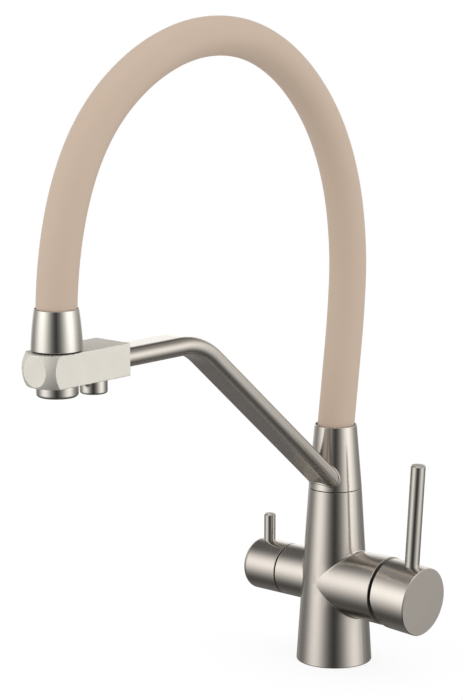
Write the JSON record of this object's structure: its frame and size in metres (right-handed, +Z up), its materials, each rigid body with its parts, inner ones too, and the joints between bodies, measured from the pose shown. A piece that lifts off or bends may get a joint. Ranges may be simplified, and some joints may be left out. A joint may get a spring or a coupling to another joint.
{
  "type": "drinking water filter tap",
  "caption": "Deck-mounted kitchen tap with an arched soft hose, a lift-out outlet docked on a bent arm, a side mixing lever and a small side knob for filtered water.",
  "frame": {"origin": "centre of the base's underside, on the worktop", "axes": "+Z up along the column; the spout points along -Y; the mixing lever is on the +X side"},
  "size_m": [0.1471, 0.3103, 0.446],
  "materials": {
    "brushed_nickel": "brushed nickel plating on brass",
    "polished_nickel": "polished nickel plating on a drawn bar",
    "brass": "turned",
    "stainless_steel": "turned stainless steel",
    "ceramic": "lapped alumina",
    "black_rubber": "moulded",
    "black_plastic": "moulded, satin",
    "white_plastic": "moulded",
    "grey_plastic": "moulded",
    "beige_silicone": "matt beige silicone sleeve",
    "white_hose": "extruded"
  },
  "bodies": {
    "base": {"body": "brushed_nickel", "base_seal": "black_rubber", "cartridge_seals": "black_rubber", "cartridge_base": "white_plastic", "cartridge_shell": "white_plastic", "cartridge_fixed_disc": "ceramic", "cartridge_nut": "brass", "cartridge_cover": "black_plastic", "filter_valve_body": "brass", "filter_valve_seal": "black_rubber", "filter_fixed_disc": "ceramic", "filter_knob_ring": "black_plastic", "spout_hub": "brass", "spout_o_rings": "black_rubber", "lower_glide_ring": "white_plastic", "upper_glide_ring": "white_plastic"},
    "spout": {"swivel_column": "brushed_nickel", "spout_retaining_screw": "stainless_steel", "spout_arm": "brushed_nickel", "filter_water_tube": "white_plastic", "outlet_block": "brushed_nickel", "dock_ring": "black_plastic", "filter_outlet_housing": "brushed_nickel", "filter_outlet_insert": "grey_plastic", "filter_outlet_seal": "black_rubber", "hose_top_nipple": "brass", "hose_sleeve": "beige_silicone", "hose_core": "stainless_steel", "water_hose": "white_hose"},
    "head": {"hose_collar": "brushed_nickel", "head_barrel": "brushed_nickel", "hose_head_nipple": "brass", "main_outlet_housing": "brushed_nickel", "main_outlet_insert": "grey_plastic", "main_outlet_seal": "black_rubber"},
    "carrier": {"cartridge_carrier": "white_plastic", "cartridge_cross_pin": "stainless_steel"},
    "disc": {"cartridge_moving_disc": "ceramic", "cartridge_disc_coupler": "white_plastic"},
    "lever": {"cartridge_stem": "stainless_steel", "handle_hub": "brushed_nickel", "lever_rod": "polished_nickel", "handle_set_screw": "stainless_steel"},
    "filter_handle": {"filter_moving_disc": "ceramic", "filter_spindle": "brass", "filter_knob": "brushed_nickel", "filter_pin": "polished_nickel", "filter_knob_screw": "stainless_steel"}
  },
  "joints": [
    {"name": "spout_swivel", "type": "hinge", "parent": "base", "child": "spout", "pos_m": [0, 0, 0.135], "axis": [0, 0, 1], "range_deg": [-160, 160]},
    {"name": "head_pull", "type": "slide", "parent": "spout", "child": "head", "axis": [0, 0, 1], "range_m": [0, 0.04], "deforming": ["hose_sleeve", "hose_core", "water_hose"]},
    {"name": "handle_turn", "type": "hinge", "parent": "base", "child": "carrier", "pos_m": [0.038, 0, 0.0565], "axis": [1, 0, 0], "range_deg": [-50, 50]},
    {"name": "handle_tilt", "type": "hinge", "parent": "carrier", "child": "lever", "pos_m": [0.038, 0, 0.0565], "axis": [0, 1, 0], "range_deg": [0, 15]},
    {"name": "disc_slide", "type": "slide", "parent": "carrier", "child": "disc", "axis": [0, 0, 1], "range_m": [0, 0.0026]},
    {"name": "filter_turn", "type": "hinge", "parent": "base", "child": "filter_handle", "pos_m": [-0.04, 0, 0.0565], "axis": [1, 0, 0], "range_deg": [0, 90]}
  ],
  "couplings": [
    {"joint": "disc_slide", "follows": "handle_tilt", "m_per_rad": 0.0095}
  ]
}
